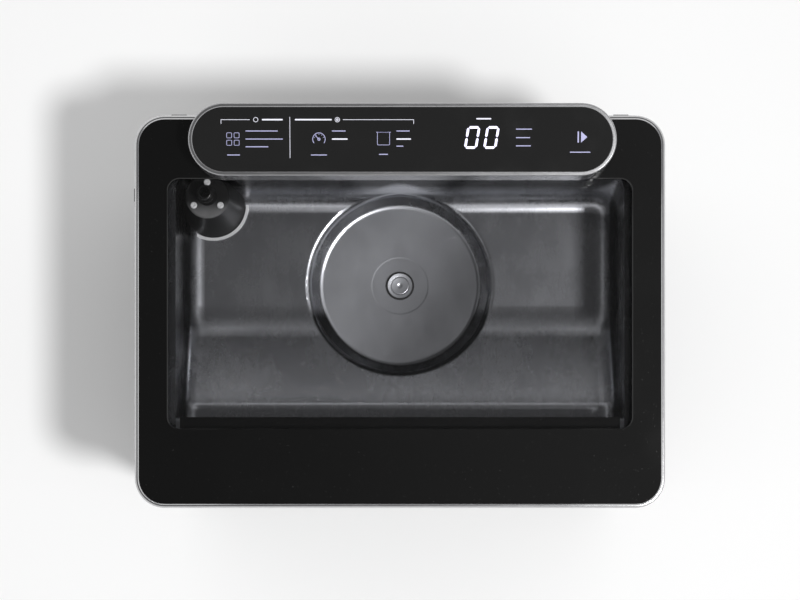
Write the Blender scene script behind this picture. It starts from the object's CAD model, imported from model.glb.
# %% [markdown]
# # A countertop vacuum chamber sealer, seen from straight above
#
# The machine is a steel box with a drawn steel chamber in it. A black lid with a thick clear window
# closes on the chamber, and a raised control bar sits at the lid's rear edge. Every working piece comes
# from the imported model, at its real size, so this lesson is about finishes and light. It also adds the
# printed marks and the display of the control bar, which are too thin to be worth solid modelling.

# %% Load the frame
import math

import bmesh
import bpy
from mathutils import Matrix, Vector


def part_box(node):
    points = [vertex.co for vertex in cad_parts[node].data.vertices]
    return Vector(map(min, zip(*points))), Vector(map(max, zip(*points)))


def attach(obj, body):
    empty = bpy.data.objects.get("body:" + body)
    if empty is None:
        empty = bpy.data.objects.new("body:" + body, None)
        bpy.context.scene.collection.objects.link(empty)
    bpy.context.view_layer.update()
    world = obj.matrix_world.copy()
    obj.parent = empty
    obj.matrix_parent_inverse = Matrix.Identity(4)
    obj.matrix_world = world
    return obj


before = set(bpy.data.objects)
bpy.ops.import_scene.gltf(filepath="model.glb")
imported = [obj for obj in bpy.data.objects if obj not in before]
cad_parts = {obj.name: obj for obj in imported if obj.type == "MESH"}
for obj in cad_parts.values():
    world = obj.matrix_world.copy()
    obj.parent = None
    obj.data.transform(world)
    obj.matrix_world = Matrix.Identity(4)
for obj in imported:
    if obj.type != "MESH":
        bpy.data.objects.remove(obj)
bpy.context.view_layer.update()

# %% [markdown]
# ## Places on the machine
#
# Nothing here is placed by eye. The lid's top, the chamber's well and the control bar's glass are read
# from the boxes of their own pieces, so that a change of size in the model moves the camera, the light
# and the marks with it. MM turns millimetres, in which a maker thinks, into Blender's metres.

# %% Read the places that the rest of the lesson needs
MM = 0.001


def middle(node):
    """Centre of a node's box."""
    low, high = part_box(node)
    return (Vector(low) + Vector(high)) / 2


lid_low, lid_high = (Vector(corner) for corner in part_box("lid_trim"))
lid_top = lid_high.z
lid_centre = (lid_low + lid_high) / 2
plug_centre = middle("plug_ring")
turret_low, turret_high = (Vector(corner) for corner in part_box("suction_port"))
nozzle_centre = middle("suction_nozzle")
print("lid top at", round(lid_top / MM, 1), "mm; lid centre", [round(v / MM, 1) for v in lid_centre])

# %% [markdown]
# ## The camera
#
# The machine is seen from straight above, with its edges parallel to the frame, yet the walls that face
# the front show and those that face the rear do not. That is a camera that looks straight down from a
# place in front of the middle, with its lens shifted back over the machine. Tilting the camera instead
# would make the lid a trapezium. The distance sets how much of the chamber's walls is seen.

# %% Camera above the front of the lid, with a shifted lens
CAMERA_DISTANCE = 1.30
CAMERA_FORWARD = 112.3 * MM
FOCAL_LENGTH = 87.75
LENS_SHIFT = 0.225

lens = bpy.data.cameras.new("copy_camera")
lens.sensor_width = 36.0
lens.lens = FOCAL_LENGTH
lens.shift_y = LENS_SHIFT
lens.clip_end = 50.0
camera = bpy.data.objects.new("copy_camera", lens)
camera.location = (lid_centre.x, lid_centre.y - CAMERA_FORWARD, lid_top + CAMERA_DISTANCE)
bpy.context.scene.collection.objects.link(camera)
bpy.context.scene.camera = camera
print("lens", round(lens.lens, 1), "mm")

# %% [markdown]
# ## Writing shaders as sums
#
# A finish is a handful of sums: a grain is noise times a strength, a smudge is a soft threshold. Drawing
# those as separate Math nodes hides them, so a Wire stands for a socket and turns +, -, * and / into
# nodes. A Finish is one material with its Principled shader. Its node method makes any other node from
# its type, its settings and its inputs, and its mix method blends two colours.

# %% A socket that can be added and multiplied
class Wire:
    """An output socket of a finish that takes part in sums."""

    def __init__(self, finish, socket):
        self.finish = finish
        self.socket = socket

    def combine(self, operation, first, second):
        return self.finish.node("ShaderNodeMath", {"operation": operation}, {0: first, 1: second})

    def __add__(self, other):
        return self.combine("ADD", self, other)

    def __radd__(self, other):
        return self.combine("ADD", other, self)

    def __sub__(self, other):
        return self.combine("SUBTRACT", self, other)

    def __rsub__(self, other):
        return self.combine("SUBTRACT", other, self)

    def __mul__(self, other):
        return self.combine("MULTIPLY", self, other)

    def __rmul__(self, other):
        return self.combine("MULTIPLY", other, self)

    def __truediv__(self, other):
        return self.combine("DIVIDE", self, other)

    def __pow__(self, other):
        return self.combine("POWER", self, other)


# %% One material and its nodes
class Finish:
    """A node material with one Principled shader."""

    def __init__(self, name, **constants):
        self.material = bpy.data.materials.new(name)
        self.material.use_nodes = True
        self.nodes = self.material.node_tree.nodes
        self.links = self.material.node_tree.links
        self.shader = self.nodes["Principled BSDF"]
        self.output = self.nodes["Material Output"]
        for socket, value in constants.items():
            self.shader.inputs[socket.replace("_", " ")].default_value = value

    def feed(self, socket, value):
        """Link a wire to a socket, or set the socket's own value."""
        if isinstance(value, Wire):
            self.links.new(value.socket, socket)
        elif isinstance(value, (tuple, list)) and len(value) == 3 and socket.type == "RGBA":
            socket.default_value = (*value, 1.0)
        else:
            socket.default_value = value

    def node(self, kind, settings=None, inputs=None, output=0):
        """Any node from its type, its settings and its inputs; gives one output as a Wire."""
        made = self.nodes.new(kind)
        for name, value in (settings or {}).items():
            setattr(made, name, value)
        for key, value in (inputs or {}).items():
            self.feed(made.inputs[key], value)
        return Wire(self, made.outputs[output])

    def place(self, stretch=(1.0, 1.0, 1.0)):
        """Position on the piece in metres, stretched along each axis."""
        where = self.node("ShaderNodeTexCoord", output="Object")
        return self.node("ShaderNodeMapping", {}, {"Vector": where, "Scale": Vector(stretch)})

    def axes(self):
        """Position along each axis of the machine, in metres."""
        split = self.node("ShaderNodeSeparateXYZ", {}, {0: self.place()})
        return [Wire(self, output) for output in split.socket.node.outputs]

    def noise(self, size, detail=2.0, stretch=(1.0, 1.0, 1.0)):
        """Soft noise from 0 to 1 whose blotches are about this many metres across."""
        inputs = {"Vector": self.place(stretch), "Scale": 1.0 / size, "Detail": detail}
        return self.node("ShaderNodeTexNoise", {}, inputs)

    def band(self, value, low, high):
        """0 at low, 1 at high, and smooth between; low may be the larger number."""
        settings = {"interpolation_type": "SMOOTHSTEP"}
        inputs = {"Value": value, "From Min": low, "From Max": high}
        return self.node("ShaderNodeMapRange", settings, inputs)

    def mix(self, share, first, second):
        """Blend of two colours."""
        inputs = {0: share, 6: first, 7: second}
        return self.node("ShaderNodeMix", {"data_type": "RGBA"}, inputs, output=2)

    def level(self, share, first, second):
        """Blend of two numbers."""
        return self.node("ShaderNodeMix", {"data_type": "FLOAT"}, {0: share, 2: first, 3: second})

    def colour(self, value):
        self.feed(self.shader.inputs["Base Color"], value)

    def roughness(self, value):
        self.feed(self.shader.inputs["Roughness"], value)

    def bump(self, height, depth):
        """Raise the surface by a height map, at a depth in metres."""
        inputs = {"Strength": 1.0, "Distance": depth, "Height": height}
        bumped = self.node("ShaderNodeBump", {}, inputs)
        self.feed(self.shader.inputs["Normal"], bumped)


def grey(level):
    """A neutral colour."""
    return (level, level, level)


# %% [markdown]
# ## Drawn steel
#
# The chamber is pressed from one sheet of stainless steel. Pressing leaves a satin, slightly cloudy
# surface with no direction: neither a mirror nor the straight brushing of a flat sheet. So the roughness
# wanders, in patches a few centimetres across, with a fine grain over them. One function makes that
# surface, and each steel piece adds its own colour.

# %% Satin steel
def drawn_steel(name, rough):
    """A metal finish with the grain and the wandering roughness of pressed sheet."""
    finish = Finish(name, Metallic=1.0)
    cloud = finish.noise(34 * MM, 3.0)
    grain = finish.noise(0.35 * MM, 2.0)
    smear = finish.noise(9 * MM, 4.0, (1.0, 0.35, 1.0))
    rough = rough + (cloud - 0.5) * 0.08 + (smear - 0.5) * 0.05 + (grain - 0.5) * 0.05
    return finish, grain, rough


def steel_grey(level):
    """The faintly blue grey of stainless steel, from one number."""
    return (level * 0.97, level * 0.99, level * 1.04)


def steel_map(finish, level):
    """The same blue grey from a level that changes over the surface."""
    channels = {0: level * 0.975, 1: level * 0.99, 2: level * 1.035}
    finish.colour(finish.node("ShaderNodeCombineColor", {}, channels))


def from_well(finish):
    """Distance to the right of the well's middle, behind it, and straight away from it."""
    across, depth = finish.axes()[:2]
    right = across - plug_centre.x
    rear = depth - plug_centre.y
    return right, rear, (right * right + rear * rear) ** 0.5


# %% [markdown]
# ## The chamber's levels of grey
#
# A deep steel chamber mostly reflects itself and the room over it, so each of its faces shows a grey of
# its own. The level is therefore set face by face, by eye, for a view from above: floor, foot, slope,
# shelf, bends, walls, rim, the well's lip and its bottom. The darkest levels are darker than steel really
# is, and stand for what those faces reflect. A map from place to level says this in a few named numbers.
# It starts with the floor and lays each region over the last, with a soft edge between them. The map is
# tied to the machine, so it stays put in any view.
#
# The faint ring round the middle of the well is only a few hundredths of a millimetre deep, so it is a
# bump around the well's centre and not a cut.

# %% Where each region of the chamber begins
SLOPE_FOOT = -4 * MM
SLOPE_TOP = -53 * MM
FOOT_BEND = 6 * MM
REAR_BEND = 82 * MM
SIDE_WALL = 149.5 * MM
RIM = 199 * MM
WELL_EDGE = 57.5 * MM
WELL_LIP = 66.5 * MM
PRESS_RING = 19.6 * MM
print("chamber regions in mm:", [round(v / MM, 1) for v in (SLOPE_TOP, SLOPE_FOOT, REAR_BEND, SIDE_WALL)])

# %% How pale each region is
FLOOR_LEFT_LEVEL = 0.39
FLOOR_RIGHT_LEVEL = 0.31
FOOT_LEVEL = 0.37
SLOPE_LEVEL = 0.90
SHELF_LEVEL = 0.36
BEND_LEVEL = 0.98
REAR_WALL_LEVEL = 0.08
SIDE_WALL_LEVEL = 0.07
RIM_LEVEL = 0.12
FRONT_LIP_LEVEL = 0.06
RIGHT_LIP_LEVEL = 0.36
LEFT_LIP_LEVEL = 1.0
BOTTOM_RIGHT_LEVEL = 0.15
BOTTOM_LEFT_LEVEL = 0.49
print("levels from", FRONT_LIP_LEVEL, "to", LEFT_LIP_LEVEL)


# %% Level of the floor, slope, bends and walls
def tub_level(finish, right):
    """The tub outside the well, one region laid over another."""
    across, depth, height = finish.axes()
    aside = finish.node("ShaderNodeMath", {"operation": "ABSOLUTE"}, {0: right})
    to_right = finish.band(right, -130 * MM, 120 * MM)
    rear_wall = REAR_BEND + 6 * MM
    level = finish.level(to_right, FLOOR_LEFT_LEVEL, FLOOR_RIGHT_LEVEL)
    level = finish.level(finish.band(depth, FOOT_BEND, 0.0), level, FOOT_LEVEL)
    level = finish.level(finish.band(depth, SLOPE_FOOT, SLOPE_FOOT - 7 * MM), level, SLOPE_LEVEL)
    level = finish.level(finish.band(depth, SLOPE_TOP, SLOPE_TOP - 14 * MM), level, SHELF_LEVEL)
    level = finish.level(finish.band(depth, REAR_BEND - 9 * MM, REAR_BEND), level, BEND_LEVEL)
    level = finish.level(finish.band(depth, rear_wall, rear_wall + 3 * MM), level, REAR_WALL_LEVEL)
    level = finish.level(finish.band(aside, SIDE_WALL - 2 * MM, SIDE_WALL), level, SIDE_WALL_LEVEL)
    return finish.level(finish.band(height, RIM - 12 * MM, RIM - 3 * MM), level, RIM_LEVEL)


# %% The chamber's steel
def well_steel():
    """The tub: its map of levels, a duller well bottom and the press's faint ring."""
    finish, grain, rough = drawn_steel("chamber_steel", 0.27)
    right, rear, away = from_well(finish)
    lit = rear * 0.6 - right * 0.8
    lip = finish.level(finish.band(lit, -48 * MM, 40 * MM), RIGHT_LIP_LEVEL, LEFT_LIP_LEVEL)
    lip = finish.level(finish.band(rear, -24 * MM, -12 * MM), FRONT_LIP_LEVEL, lip)
    bottom = finish.level(finish.band(lit, -50 * MM, 40 * MM), BOTTOM_RIGHT_LEVEL, BOTTOM_LEFT_LEVEL)
    in_well = 1.0 - finish.band(away, WELL_LIP - 1 * MM, WELL_LIP + 1 * MM)
    on_bottom = 1.0 - finish.band(away, WELL_EDGE - 2 * MM, WELL_EDGE)
    level = finish.level(in_well, tub_level(finish, right), lip)
    level = finish.level(on_bottom, level, bottom)
    cloud = finish.noise(30 * MM, 3.0)
    steel_map(finish, level * (0.93 + cloud * 0.14 - grain * 0.08))
    finish.roughness(rough + on_bottom * 0.08)
    step = finish.band(away, PRESS_RING, PRESS_RING + 1.2 * MM)
    finish.bump(step * 0.9 + grain * 0.12, 0.05 * MM)
    return finish.material


STEEL = well_steel()
print("made", STEEL.name, "with", len(STEEL.node_tree.nodes), "nodes")

# %% [markdown]
# ## The plug and the bar's guides
#
# The plug in the well is a turned piece, with a pale rim, a fine groove, a slightly darker middle and a
# small dimple. These are about a quarter of a millimetre deep, so a bump is enough. The guides of the seal
# bar are plain pressed steel.

# %% Turned and plain steel
GROOVE_INSIDE = 5.7 * MM
GROOVE_OUTSIDE = 6.9 * MM
GROOVE_EDGE = 0.4 * MM
DIMPLE = 2.2 * MM
PLUG_RIM_LEVEL = 0.74
PLUG_MIDDLE_LEVEL = 0.56


def turned_steel():
    """The plug's top, in rings round the well's middle."""
    finish, grain, rough = drawn_steel("plug_steel", 0.32)
    right, rear, away = from_well(finish)
    inner_edge = finish.band(away, GROOVE_INSIDE, GROOVE_INSIDE + GROOVE_EDGE)
    groove = inner_edge * (1.0 - finish.band(away, GROOVE_OUTSIDE - GROOVE_EDGE, GROOVE_OUTSIDE))
    inside = 1.0 - finish.band(away, 5.6 * MM, 6.2 * MM)
    dimple = 1.0 - finish.band(away, 0.4 * MM, DIMPLE)
    level = finish.level(inside, PLUG_RIM_LEVEL, PLUG_MIDDLE_LEVEL)
    steel_map(finish, level * (1.0 - groove * 0.45) * (1.0 - grain * 0.12))
    finish.roughness(rough)
    finish.bump((1.0 - groove) * 0.5 - dimple + grain * 0.05, 0.25 * MM)
    return finish.material


def plain_steel(name, level):
    """Pressed steel of one even level."""
    finish, grain, rough = drawn_steel(name, 0.32)
    finish.colour(finish.mix(grain * 0.3, steel_grey(level), steel_grey(level * 0.8)))
    finish.roughness(rough)
    finish.bump(grain, 0.01 * MM)
    return finish.material


GUIDE_STEEL = plain_steel("guide_steel", 0.45)
PLUG_STEEL = turned_steel()
print("steel finishes ready")

# %% [markdown]
# ## Gloss black
#
# The lid is moulded in black plastic and polished. Black gloss shows almost no colour of its own, so it
# lives on what its roughness does to reflections: a nearly sharp coat with broad, faint smudges from
# hands, and a very shallow waviness, which real mouldings have where the plastic shrank. A flat black
# with one roughness looks like a hole in the picture. The black also pales a little from left to right.
# The suction turret is a duller black, and its flat top is rubbed paler in front of the nozzle.

# %% Polished black plastic
LEFT_TONE = 0.5
RIGHT_TONE = 1.4
DUST_LEVEL = 0.10


def gloss_black(name, level, rough, smudge):
    """Polished black that pales to the right, with broad smudges and a little dust."""
    finish = Finish(name, Coat_Roughness=0.04, Specular_IOR_Level=0.5)
    broad = finish.noise(60 * MM, 3.0)
    speck = finish.noise(1.1 * MM, 1.0)
    dust = finish.band(speck, 0.74, 0.80)
    right = finish.band(finish.axes()[0], lid_low.x, lid_high.x)
    tone = finish.mix(right, grey(level * LEFT_TONE), grey(level * RIGHT_TONE))
    finish.colour(finish.mix(dust * 0.10, tone, grey(DUST_LEVEL)))
    finish.roughness(rough + finish.band(broad, 0.42, 0.75) * smudge + dust * 0.2)
    finish.bump(finish.noise(28 * MM, 1.0), 0.03 * MM)
    return finish.material


LID_BLACK = gloss_black("lid_gloss_black", 0.006, 0.08, 0.06)
DECK_BLACK = gloss_black("deck_black", 0.012, 0.24, 0.08)
PORT_BLACK = gloss_black("port_black", 0.012, 0.16, 0.06)
print("gloss blacks ready")


# %% The suction turret's satin black
TURRET_BLACK_LEVEL = 0.010
TURRET_TOP_LEVEL = 0.19
TURRET_TOP_BAND = 1.6 * MM
RUB_REACH = 13 * MM


def turret_black():
    """Satin black turret whose top is a paler rubbed disc, brighter towards the front."""
    finish = Finish("turret_black", Specular_IOR_Level=0.10)
    depth, height = finish.axes()[1:]
    top_low = turret_high.z - TURRET_TOP_BAND
    top = finish.band(height, top_low, top_low + 0.4 * MM)
    front = 1.0 - finish.band(depth, nozzle_centre.y - RUB_REACH, nozzle_centre.y - 2 * MM)
    patch = finish.noise(6 * MM, 2.0)
    share = top * front * (0.85 + patch * 0.15)
    finish.colour(finish.mix(share, grey(TURRET_BLACK_LEVEL), grey(TURRET_TOP_LEVEL)))
    finish.roughness(0.52 + patch * 0.06 - top * 0.12)
    finish.bump(finish.noise(0.8 * MM, 2.0), 0.01 * MM)
    return finish.material


TURRET_BLACK = turret_black()
print("black finishes ready")

# %% [markdown]
# ## Moulded, coated and rubber surfaces
#
# The rear panel, the fan and the seal bar are plain mouldings with a spark-eroded grain, which scatters
# light evenly. The casing is powder coated: its skin has an orange-peel ripple about a millimetre across.
# Rubber is darker and duller, with dust in its pores. One function makes all three, from the size and
# depth of the grain and from how shiny the skin is, because only those differ.

# %% Grained black and dark skins
def grained(name, colour, rough, grain_size, depth, dusting=0.15):
    finish = Finish(name)
    grain = finish.noise(grain_size, 2.0)
    patch = finish.noise(45 * MM, 3.0)
    pale = tuple(channel + 0.035 for channel in colour)
    finish.colour(finish.mix(patch * dusting + grain * 0.08, colour, pale))
    finish.roughness(rough + (patch - 0.5) * 0.12 + (grain - 0.5) * 0.08)
    finish.bump(grain, depth)
    return finish.material


CASING_COAT = grained("casing_powder_coat", (0.020, 0.020, 0.021), 0.38, 1.1 * MM, 0.035 * MM, 0.10)
PANEL_MOULDING = grained("rear_moulding", (0.018, 0.018, 0.019), 0.52, 0.6 * MM, 0.05 * MM)
FAN_MOULDING = grained("fan_moulding", (0.014, 0.014, 0.015), 0.46, 0.8 * MM, 0.03 * MM)
BAR_LAMINATE = grained("seal_bar_laminate", (0.016, 0.015, 0.014), 0.42, 0.7 * MM, 0.03 * MM)
RUBBER = grained("black_rubber", (0.013, 0.013, 0.013), 0.72, 0.5 * MM, 0.05 * MM, 0.3)
SILICONE = grained("pad_silicone", (0.020, 0.020, 0.021), 0.62, 0.4 * MM, 0.03 * MM, 0.3)
BRACKET_COAT = grained("bracket_coat", (0.030, 0.030, 0.032), 0.42, 0.9 * MM, 0.03 * MM)
MOTOR_PAINT = grained("motor_paint", (0.080, 0.085, 0.095), 0.40, 1.0 * MM, 0.03 * MM)
COIL_MOULDING = grained("coil_moulding", (0.035, 0.035, 0.042), 0.48, 0.7 * MM, 0.03 * MM)
HOSE_SILICONE = grained("hose_silicone", (0.55, 0.55, 0.52), 0.38, 1.4 * MM, 0.02 * MM)
BEAD = grained("window_bead", (0.16, 0.16, 0.165), 0.30, 1.0 * MM, 0.01 * MM)
print("grained finishes ready")

# %% [markdown]
# ## Bright metals
#
# The lid's frame is polished, the control bar's wall is a darker polished metal, and the hinges, screws
# and cradle are plated or machined. Polished metal is nearly all reflection, so its roughness is low and
# carries fine wiping marks along the piece. Machined and plated parts get a stronger grain, and the cast
# ones a coarse one. Colour comes from the base colour alone, since metals tint what they reflect. The
# turret's collar and screws are an even pale grey from every side, so they are mostly not metallic.

# %% Polished, plated and cast metals
def bright_metal(name, colour, rough, wipe_size, wipe, depth=0.004 * MM, metallic=1.0):
    finish = Finish(name, Metallic=metallic)
    streak = finish.noise(wipe_size, 3.0, (0.12, 1.0, 1.0))
    haze = finish.noise(30 * MM, 2.0)
    dull = tuple(channel * 0.86 for channel in colour)
    finish.colour(finish.mix(streak, dull, colour))
    finish.roughness(rough + (streak - 0.5) * wipe + (haze - 0.5) * wipe)
    finish.bump(streak, depth)
    return finish.material


TRIM_METAL = bright_metal("polished_trim", (0.66, 0.66, 0.67), 0.20, 0.8 * MM, 0.05)
BAR_METAL = bright_metal("control_bar_metal", (0.46, 0.46, 0.47), 0.24, 0.6 * MM, 0.06)
MILKY = 0.15
PORT_NICKEL = bright_metal("port_nickel", (0.95, 0.95, 0.95), 0.36, 0.5 * MM, 0.06, metallic=MILKY)
SCREW_METAL = bright_metal("bright_screws", (0.78, 0.78, 0.78), 0.18, 0.5 * MM, 0.06)
ZINC = bright_metal("zinc_plate", (0.52, 0.53, 0.55), 0.34, 1.2 * MM, 0.12, 0.01 * MM)
CAST_ALUMINIUM = bright_metal("cast_aluminium", (0.58, 0.59, 0.60), 0.46, 1.0 * MM, 0.16, 0.05 * MM)
BRASS = bright_metal("contact_brass", (0.72, 0.52, 0.22), 0.28, 0.5 * MM, 0.10)
HEATER = bright_metal("heating_strip", (0.46, 0.43, 0.40), 0.36, 0.4 * MM, 0.10)
print("metals ready")

# %% [markdown]
# ## Woven tape and circuit boards
#
# Two finishes have a pattern and not just a grain. The seal bar's tape is coated glass cloth, so a fine
# plain weave shows through it: the product of two waves at right angles. A board is green lacquer over
# copper, and the copper's tracks are slightly lighter, which a blocky cell pattern suggests well enough
# at this size.

# %% Glass-cloth tape
def woven_tape():
    finish = Finish("glass_cloth_tape")
    pitch = 1.0 / (0.9 * MM)
    x, y, z = finish.axes()
    warp = finish.node("ShaderNodeMath", {"operation": "SINE"}, {0: x * (pitch * math.tau)})
    weft = finish.node("ShaderNodeMath", {"operation": "SINE"}, {0: y * (pitch * math.tau)})
    weave = warp * weft * 0.5 + 0.5
    finish.colour(finish.mix(weave, (0.055, 0.036, 0.022), (0.10, 0.066, 0.042)))
    finish.roughness(0.42 + weave * 0.12)
    finish.bump(weave, 0.05 * MM)
    return finish.material


# %% Green circuit board
def circuit_board():
    finish = Finish("green_board")
    cells = finish.node("ShaderNodeTexVoronoi", {"distance": "CHEBYCHEV"},
                        {"Vector": finish.place(), "Scale": 1.0 / (3.2 * MM)})
    track = finish.band(cells, 0.34, 0.40)
    finish.colour(finish.mix(track, (0.010, 0.090, 0.040), (0.030, 0.170, 0.080)))
    finish.roughness(0.34 - track * 0.06)
    finish.bump(track, 0.03 * MM)
    return finish.material


TAPE = woven_tape()
BOARD = circuit_board()
print("patterned finishes ready")

# %% [markdown]
# ## The window
#
# The window is a thick polished clear sheet. Full refraction would darken the chamber, because lamps
# reach through refracting glass only as caustics. A mix of a transparent and a glossy shader lets the
# lamps through, and Fresnel decides how much of each is seen: little reflection from straight above and
# a lot at a low angle. The tint is slight, as clear acrylic is.

# %% Clear window and dark cover glass
def clear_window():
    finish = Finish("clear_window")
    finish.nodes.remove(finish.shader)
    see_through = finish.node("ShaderNodeBsdfTransparent", {}, {"Color": (0.945, 0.945, 0.95)})
    haze = finish.noise(70 * MM, 2.0)
    mirror = finish.node("ShaderNodeBsdfGlossy", {}, {"Color": (1.0, 1.0, 1.0), "Roughness": 0.05})
    rim_light = finish.node("ShaderNodeFresnel", {}, {"IOR": 1.40})
    share = rim_light * (0.85 + haze * 0.15)
    blend = finish.node("ShaderNodeMixShader", {}, {0: share, 1: see_through, 2: mirror})
    finish.links.new(blend.socket, finish.output.inputs["Surface"])
    return finish.material


GLASS_LEVEL = 0.011
FLECK_LEVEL = 0.05


def cover_glass():
    """The control bar's black glass, with smudges and a few pale flecks."""
    finish = Finish("control_bar_glass", Coat_Weight=0.35, Coat_Roughness=0.05)
    smudge = finish.noise(26 * MM, 4.0)
    fleck = finish.noise(0.9 * MM, 1.0)
    finish.colour(finish.mix(finish.band(fleck, 0.70, 0.78) * 0.2, grey(GLASS_LEVEL), grey(FLECK_LEVEL)))
    finish.roughness(0.11 + finish.band(smudge, 0.45, 0.8) * 0.07)
    finish.bump(finish.noise(20 * MM, 1.0), 0.01 * MM)
    return finish.material


WINDOW = clear_window()
COVER_GLASS = cover_glass()
print("glass ready")

# %% [markdown]
# ## Dressing the pieces
#
# Each piece of the model keeps its own mesh and gets its finish in its material slots. The list below is
# the machine's parts list by finish, so a reader can see at once what is made of what. A piece that is
# missing from it would keep the plain colour from the record, so the cell counts what it dressed.

# %% Parts list by finish
PARTS_BY_FINISH = [
    (STEEL, ["chamber_tub"]),
    (GUIDE_STEEL, ["bar_guides"]),
    (PLUG_STEEL, ["floor_plug"]),
    (LID_BLACK, ["lid_panel", "panel_base", "strip_holder"]),
    (DECK_BLACK, ["top_deck"]),
    (TURRET_BLACK, ["suction_port"]),
    (PORT_BLACK, ["suction_nozzle"]),
    (CASING_COAT, ["outer_casing", "base_plate"]),
    (PANEL_MOULDING, ["rear_panel", "switch_housing", "power_inlet", "power_rocker", "trim_clip"]),
    (FAN_MOULDING, ["fan_frame", "fan_rotor"]),
    (BAR_LAMINATE, ["seal_bar_body"]),
    (RUBBER, ["rubber_feet", "lid_gasket", "plug_ring", "pump_mounts"]),
    (SILICONE, ["seal_pad"]),
    (BRACKET_COAT, ["hinge_brackets"]),
    (MOTOR_PAINT, ["pump_motor"]),
    (COIL_MOULDING, ["solenoid_valves", "pressure_sensor", "board_parts", "transformer_ring",
                     "display_module"]),
    (HOSE_SILICONE, ["chamber_hose", "pump_hoses"]),
    (BEAD, ["window_bond"]),
    (TRIM_METAL, ["lid_trim"]),
    (PORT_NICKEL, ["port_collar", "port_screws"]),
    (BAR_METAL, ["panel_shell"]),
    (SCREW_METAL, ["foot_screws", "hinge_bracket_screws", "panel_screws", "transformer_clamp"]),
    (ZINC, ["floor_brace", "pump_cradle", "lift_pins", "hinge_leaves", "hinge_pins", "hinge_springs",
            "pump_rotor"]),
    (CAST_ALUMINIUM, ["lift_cylinders", "pump_heads", "valve_block"]),
    (BRASS, ["contact_pins", "inlet_pins"]),
    (HEATER, ["heating_strip"]),
    (TAPE, ["release_tape"]),
    (BOARD, ["power_board", "control_board"]),
    (WINDOW, ["lid_window"]),
    (COVER_GLASS, ["panel_glass"]),
]

dressed = set()
for material, nodes in PARTS_BY_FINISH:
    for node in nodes:
        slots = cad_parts[node].material_slots
        for slot in slots:
            slot.material = material
        dressed.add(node)
plain = sorted(set(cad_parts) - dressed)
print("dressed", len(dressed), "of", len(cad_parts), "pieces; left out:", plain)

# %% [markdown]
# ## The control bar's marks
#
# The bar's printed marks and its lit digits lie under hard glass, so they are flat, sharp and evenly
# bright. They could be painted by a shader, but icons drawn by shader sums are hard to read and blur when
# exported. Each mark is instead a very thin sheet of mesh, a few hundredths of a millimetre over the
# glass. The glass slopes, so the marks are drawn on a flat sheet in millimetres and then laid on it: u
# runs to the right from the middle of the machine and v runs up towards the hinges. Where a maker would
# print words, there are short plain rules instead, because the part carries no lettering.

# %% The plane of the glass
TOP_REACH = 8 * MM


def sloping_face(node):
    """Upward normal of a node's topmost faces, averaged by area."""
    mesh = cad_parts[node].data
    faces = [face for face in mesh.polygons if face.normal.z > 0.9]
    highest = max(face.normal.z * face.center.z for face in faces)
    upper = [face for face in faces if face.normal.z * face.center.z > highest - TOP_REACH]
    normal = sum((face.normal * face.area for face in upper), Vector()).normalized()
    return normal


glass_low, glass_high = (Vector(corner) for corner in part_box("panel_glass"))
glass_normal = sloping_face("panel_glass")
glass_slope = math.atan2(-glass_normal.y, glass_normal.z)
glass_middle_y = (glass_low.y + glass_high.y) / 2
glass_rear_height = glass_high.z
glass_middle_z = glass_rear_height - math.tan(glass_slope) * (glass_high.y - glass_middle_y)
MARKS_RISE = 0.5 * MM
marks_z = glass_middle_z + MARKS_RISE * math.tan(glass_slope)
glass_middle = Vector((0.0, glass_middle_y + MARKS_RISE, marks_z))
ON_GLASS = Matrix.Translation(glass_middle) @ Matrix.Rotation(glass_slope, 4, "X")
MARK_LIFT = 0.06
print("glass slopes", round(math.degrees(glass_slope), 2), "degrees")

# %% [markdown]
# ## Ink and light
#
# Two finishes make the marks. The ink is a cool white that glows faintly, because the bar is lit from
# behind. The digits and the two chosen settings glow more strongly. Neither is pure white: a lit white
# that clips loses the violet tint that such displays have.

# %% Ink and light finishes
def glowing(name, colour, strength):
    finish = Finish(name, Emission_Strength=strength, Roughness=0.4)
    finish.colour(colour)
    fade = finish.noise(3 * MM, 1.0)
    dimmer = tuple(channel * 0.9 for channel in colour)
    finish.feed(finish.shader.inputs["Emission Color"], finish.mix(fade * 0.25, colour, dimmer))
    return finish.material


INK = glowing("mark_ink", (0.36, 0.36, 0.56), 0.30)
INK_BRIGHT = glowing("mark_ink_bright", (0.62, 0.62, 0.70), 0.45)
DIGIT_LIGHT = glowing("digit_light", (0.74, 0.72, 0.95), 1.0)


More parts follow.
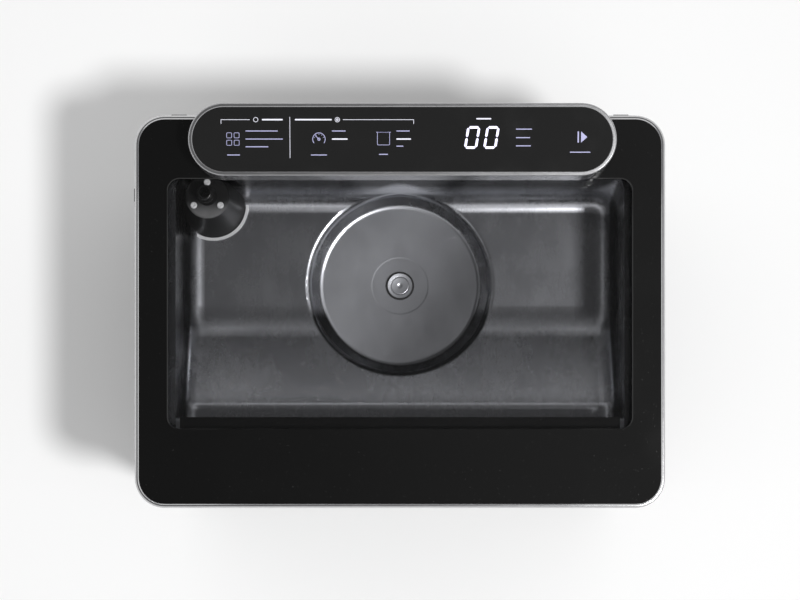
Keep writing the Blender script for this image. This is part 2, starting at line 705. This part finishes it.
# %% Flat outlines on the glass
class Sheet:
    """A set of thin flat marks that become one mesh on the glass."""

    def __init__(self, name, material):
        self.name = name
        self.material = material
        self.mesh = bmesh.new()

    def face(self, points):
        """One filled outline from (u, v) points in millimetres."""
        corners = [self.mesh.verts.new((u, v, 0.0)) for u, v in points]
        self.mesh.faces.new(corners)

    def bar(self, u0, v0, u1, v1):
        """A filled rectangle."""
        self.face([(u0, v0), (u1, v0), (u1, v1), (u0, v1)])

    def rule(self, u0, u1, v, height=0.6):
        """A rule in the place of a word, with softly cut ends."""
        cut = height * 0.3
        low, high = v - height / 2, v + height / 2
        self.face([(u0, low + cut), (u0 + cut, low), (u1 - cut, low), (u1, low + cut),
                   (u1, high - cut), (u1 - cut, high), (u0 + cut, high), (u0, high - cut)])

    def line(self, start, end, width):
        """A straight stroke."""
        run = Vector(end) - Vector(start)
        side = Vector((-run.y, run.x)).normalized() * width / 2
        start, end = Vector(start), Vector(end)
        self.face([tuple(start - side), tuple(end - side), tuple(end + side), tuple(start + side)])

    def arc(self, centre, radius, width, begin=0.0, turn=360.0, steps=32):
        """A round stroke from an angle, through a turn, in degrees."""
        inner, outer = radius - width / 2, radius + width / 2
        for step in range(steps):
            first = math.radians(begin + turn * step / steps)
            last = math.radians(begin + turn * (step + 1) / steps)
            self.face([(centre[0] + inner * math.cos(first), centre[1] + inner * math.sin(first)),
                       (centre[0] + outer * math.cos(first), centre[1] + outer * math.sin(first)),
                       (centre[0] + outer * math.cos(last), centre[1] + outer * math.sin(last)),
                       (centre[0] + inner * math.cos(last), centre[1] + inner * math.sin(last))])

    def frame(self, u0, v0, u1, v1, width, corner):
        """A rectangular stroke with round corners."""
        self.line((u0 + corner, v0), (u1 - corner, v0), width)
        self.line((u0 + corner, v1), (u1 - corner, v1), width)
        self.line((u0, v0 + corner), (u0, v1 - corner), width)
        self.line((u1, v0 + corner), (u1, v1 - corner), width)
        for u, v, begin in ((u0 + corner, v0 + corner, 180), (u1 - corner, v0 + corner, 270),
                            (u1 - corner, v1 - corner, 0), (u0 + corner, v1 - corner, 90)):
            self.arc((u, v), corner, width, begin, 90, 6)

    def lay(self):
        """Turn the marks into a piece that rides with the lid."""
        bmesh.ops.remove_doubles(self.mesh, verts=self.mesh.verts, dist=0.001)
        for face in self.mesh.faces:
            if face.normal.z < 0:
                face.normal_flip()
        bmesh.ops.translate(self.mesh, verts=self.mesh.verts, vec=(0.0, 0.0, MARK_LIFT))
        bmesh.ops.scale(self.mesh, verts=self.mesh.verts, vec=(MM, MM, MM))
        bmesh.ops.transform(self.mesh, verts=self.mesh.verts, matrix=ON_GLASS)
        data = bpy.data.meshes.new(self.name)
        self.mesh.to_mesh(data)
        self.mesh.free()
        data.materials.append(self.material)
        piece = bpy.data.objects.new(self.name, data)
        bpy.context.scene.collection.objects.link(piece)
        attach(piece, "lid")
        print(self.name, len(data.polygons), "faces")
        return piece


# %% [markdown]
# ## Laying out the marks
#
# The bar reads from left to right: a program group behind a bracket, a divider, a vacuum and seal group
# behind a longer bracket, the display with its status list, and the start key. Every group has the same
# rows, so the rows are named once and the groups share them. Lines are a third of a millimetre wide, as
# fine printing on glass is.

# %% Rows and strokes shared by all groups
HEAD_ROW = 12.2
TOP_ROW = 4.9
MIDDLE_ROW = -0.3
LOW_ROW = -5.3
FOOT_ROW = -10.6
FINE = 0.32
STROKE = 0.42
BRACKET_DROP = 2.7

ink = Sheet("control_marks", INK)
bright = Sheet("control_marks_bright", INK_BRIGHT)


def bracket(sheet, u0, u1, drop_left, drop_right):
    """A thin line over a group, turned down at one or both ends."""
    sheet.line((u0, HEAD_ROW), (u1, HEAD_ROW), FINE)
    if drop_left:
        sheet.line((u0 + FINE / 2, HEAD_ROW), (u0 + FINE / 2, HEAD_ROW - BRACKET_DROP), FINE)
    if drop_right:
        sheet.line((u1 - FINE / 2, HEAD_ROW), (u1 - FINE / 2, HEAD_ROW - BRACKET_DROP), FINE)


# %% Program group
bracket(bright, -117.3, -98.3, True, False)
bright.arc((-94.4, HEAD_ROW), 1.45, FINE, steps=20)
bright.rule(-90.4, -76.7, HEAD_ROW, 0.95)
for u in (-111.9, -107.0):
    for v in (2.1, -2.7):
        ink.frame(u - 1.65, v - 1.65, u + 1.65, v + 1.65, FINE, 0.6)
ink.rule(-113.4, -104.9, FOOT_ROW)
for end, row in ((-80.0, TOP_ROW), (-76.7, MIDDLE_ROW), (-86.3, LOW_ROW)):
    ink.rule(-101.2, end, row, 0.6)

# %% Vacuum and seal group
bright.line((-72.1, -12.6), (-72.1, 14.0), FINE)
bright.rule(-68.8, -44.6, HEAD_ROW, 0.95)
bright.arc((-41.0, HEAD_ROW), 1.5, FINE, steps=20)
bright.arc((-41.0, HEAD_ROW), 0.55, 0.5, steps=12)
bracket(bright, -37.4, 9.1, False, True)

gauge = (-53.1, -0.4)
ink.arc(gauge, 4.1, STROKE, 218, -256, 36)
ink.line((gauge[0] - 2.4, gauge[1] + 2.4), (gauge[0] + 0.7, gauge[1] - 0.7), STROKE)
ink.arc(gauge, 0.8, STROKE, steps=14)
for angle in (20, 55, 90, 125, 160):
    tick = Vector((math.cos(math.radians(angle)), math.sin(math.radians(angle))))
    ink.line(tuple(Vector(gauge) + tick * 2.9), tuple(Vector(gauge) + tick * 3.6), FINE)
ink.rule(-58.4, -47.9, FOOT_ROW)
ink.rule(-44.6, -35.6, TOP_ROW, 0.6)
bright.rule(-44.6, -34.3, MIDDLE_ROW, 0.9)

ink.frame(-14.8, -4.1, -6.8, 4.1, FINE, 0.5)
ink.line((-15.6, 4.1), (-6.0, 4.1), FINE)
ink.rule(-13.8, -7.9, FOOT_ROW + 0.4)
ink.rule(-2.4, 6.4, TOP_ROW, 0.6)
bright.rule(-2.4, 7.2, MIDDLE_ROW, 0.9)
ink.rule(-2.4, 2.2, LOW_ROW + 0.4, 0.6)

# %% Status list and start key
bright.rule(49.9, 59.7, HEAD_ROW + 0.6, 0.9)
for end, row in ((86.4, TOP_ROW + 1.2), (85.2, MIDDLE_ROW + 0.9), (85.8, LOW_ROW + 0.6)):
    ink.rule(75.9, end, row, 0.6)
ink.bar(116.3, -2.6, 117.2, 4.6)
ink.face([(118.6, -2.6), (122.7, 1.0), (118.6, 4.6)])
ink.rule(111.4, 124.8, -8.8)
ink.lay()
bright.lay()

# %% [markdown]
# ## The digits
#
# Each digit is a seven-segment figure that leans to the right. A segment is a bar with pointed ends, so
# that neighbours meet at a thin dark gap, and that gap is what makes a display read as one. Both digits
# show zero, which lights all the segments but the middle one.

# %% Seven-segment zeros
DIGIT_WIDTH = 8.6
DIGIT_HEIGHT = 14.6
DIGIT_STEP = 12.6
DIGIT_LEAN = math.tan(math.radians(9))
SEGMENT = 1.55
SEGMENT_GAP = 0.25
FIRST_DIGIT = Vector((47.3, 0.7))

digits = Sheet("display_digits", DIGIT_LIGHT)


def segment(centre, first, last):
    """One lit bar between two corners of a digit, with pointed ends."""
    run = (last - first).normalized()
    side = Vector((-run.y, run.x)) * SEGMENT / 2
    start = first + run * SEGMENT_GAP
    end = last - run * SEGMENT_GAP
    inner_start = start + run * SEGMENT / 2
    inner_end = end - run * SEGMENT / 2
    outline = [start, inner_start - side, inner_end - side, end, inner_end + side, inner_start + side]
    digits.face([(centre.x + p.x + p.y * DIGIT_LEAN, centre.y + p.y) for p in outline])


for index in range(2):
    centre = FIRST_DIGIT + Vector((index * DIGIT_STEP, 0.0))
    half = Vector((DIGIT_WIDTH / 2 - SEGMENT / 2, DIGIT_HEIGHT / 2 - SEGMENT / 2))
    stations = [Vector((-half.x, -half.y)), Vector((-half.x, 0)), Vector((-half.x, half.y)),
                Vector((half.x, half.y)), Vector((half.x, 0)), Vector((half.x, -half.y))]
    for first, last in zip(stations, stations[1:] + stations[:1]):
        segment(centre, first, last)
digits.lay()

# %% [markdown]
# ## Floor, sky and lamps
#
# The machine stands on a white floor under one round lamp at the front right, three metres up, so that
# its shadow falls to the rear left with a soft edge. A lamp at that distance, unlike a sun, spreads the
# shadow wider on the far side of the machine than on the near one. It also lights the floor a little more
# on its own side, so the floor's colour is a little deeper there and in the corners. The sky does the
# rest. Polished and satin metal show whatever is over them, so the sky is not one grey: it is dim straight
# overhead, where the camera and its rig hang, and bright in a band lower down, like the white walls of a
# studio. Round the machine, lamp and sky together light a flat surface at a plain level of about one. Far
# from the machine the lamp's light falls off, so a view from low down shows a greyer floor behind it.

# %% White floor
FLOOR_WHITE = 0.99
LAMP_SIDE_DEEPER = 0.055
CORNERS_DEEPER = 0.05
LAMP_SPAN = 0.45
CORNERS_BEGIN = 0.22
CORNERS_END = 0.42


def white_floor():
    """Matt white that evens out what the lamp and the machine's shade do to it."""
    finish = Finish("white_floor", Roughness=0.9)
    across, depth = finish.axes()[:2]
    near_lamp = finish.band(across * 0.83 - depth * 0.56, -LAMP_SPAN, LAMP_SPAN)
    far_out = finish.band(across * across + depth * depth, CORNERS_BEGIN ** 2, CORNERS_END ** 2)
    level = FLOOR_WHITE - near_lamp * LAMP_SIDE_DEEPER - far_out * CORNERS_DEEPER
    finish.colour(finish.node("ShaderNodeCombineColor", {}, {0: level, 1: level, 2: level}))
    return finish.material


FLOOR_HALF = 4.0
sweep = bmesh.new()
bmesh.ops.create_grid(sweep, x_segments=8, y_segments=8, size=FLOOR_HALF)
floor_mesh = bpy.data.meshes.new("floor")
sweep.to_mesh(floor_mesh)
sweep.free()
floor_mesh.materials.append(white_floor())
floor = bpy.data.objects.new("floor", floor_mesh)
floor.location.z = -0.2 * MM
bpy.context.scene.collection.objects.link(floor)

# %% The lamp at the front right
KEY_PLACE = Vector((1060.0, -650.0, 2975.0)) * MM
KEY_WIDTH = 0.38
KEY_POWER = 56.5

key_data = bpy.data.lights.new("key_lamp", "AREA")
key_data.shape = "DISK"
key_data.size = KEY_WIDTH
key_data.energy = KEY_POWER
key = bpy.data.objects.new("key_lamp", key_data)
key.location = KEY_PLACE
key.rotation_euler = (lid_centre - KEY_PLACE).to_track_quat("-Z", "Y").to_euler()
bpy.context.scene.collection.objects.link(key)
print("lamp at", [round(v, 2) for v in KEY_PLACE], "m")

# %% The sky: dim overhead, bright walls
SKY_OVERHEAD = 0.12
SKY_WALLS = 0.86
BACKDROP = 0.92

world = bpy.data.worlds.new("studio")
world.use_nodes = True
bpy.context.scene.world = world
sky = world.node_tree
for node in list(sky.nodes):
    sky.nodes.remove(node)
where = sky.nodes.new("ShaderNodeTexCoord")
split = sky.nodes.new("ShaderNodeSeparateXYZ")
ramp = sky.nodes.new("ShaderNodeValToRGB")
ramp.color_ramp.elements[0].position = 0.0
ramp.color_ramp.elements[0].color = (*grey(BACKDROP), 1.0)
ramp.color_ramp.elements[1].position = 1.0
ramp.color_ramp.elements[1].color = (*grey(SKY_OVERHEAD), 1.0)
for height, level in ((0.30, SKY_WALLS), (0.72, SKY_WALLS), (0.90, SKY_OVERHEAD)):
    stop = ramp.color_ramp.elements.new(height)
    stop.color = (*grey(level), 1.0)
studio_light = sky.nodes.new("ShaderNodeBackground")
result = sky.nodes.new("ShaderNodeOutputWorld")
sky.links.new(where.outputs["Generated"], split.inputs[0])
sky.links.new(split.outputs["Z"], ramp.inputs[0])
sky.links.new(ramp.outputs[0], studio_light.inputs["Color"])
sky.links.new(studio_light.outputs[0], result.inputs[0])
bpy.context.scene.view_settings.view_transform = "Standard"
print("floor, lamp and sky ready")
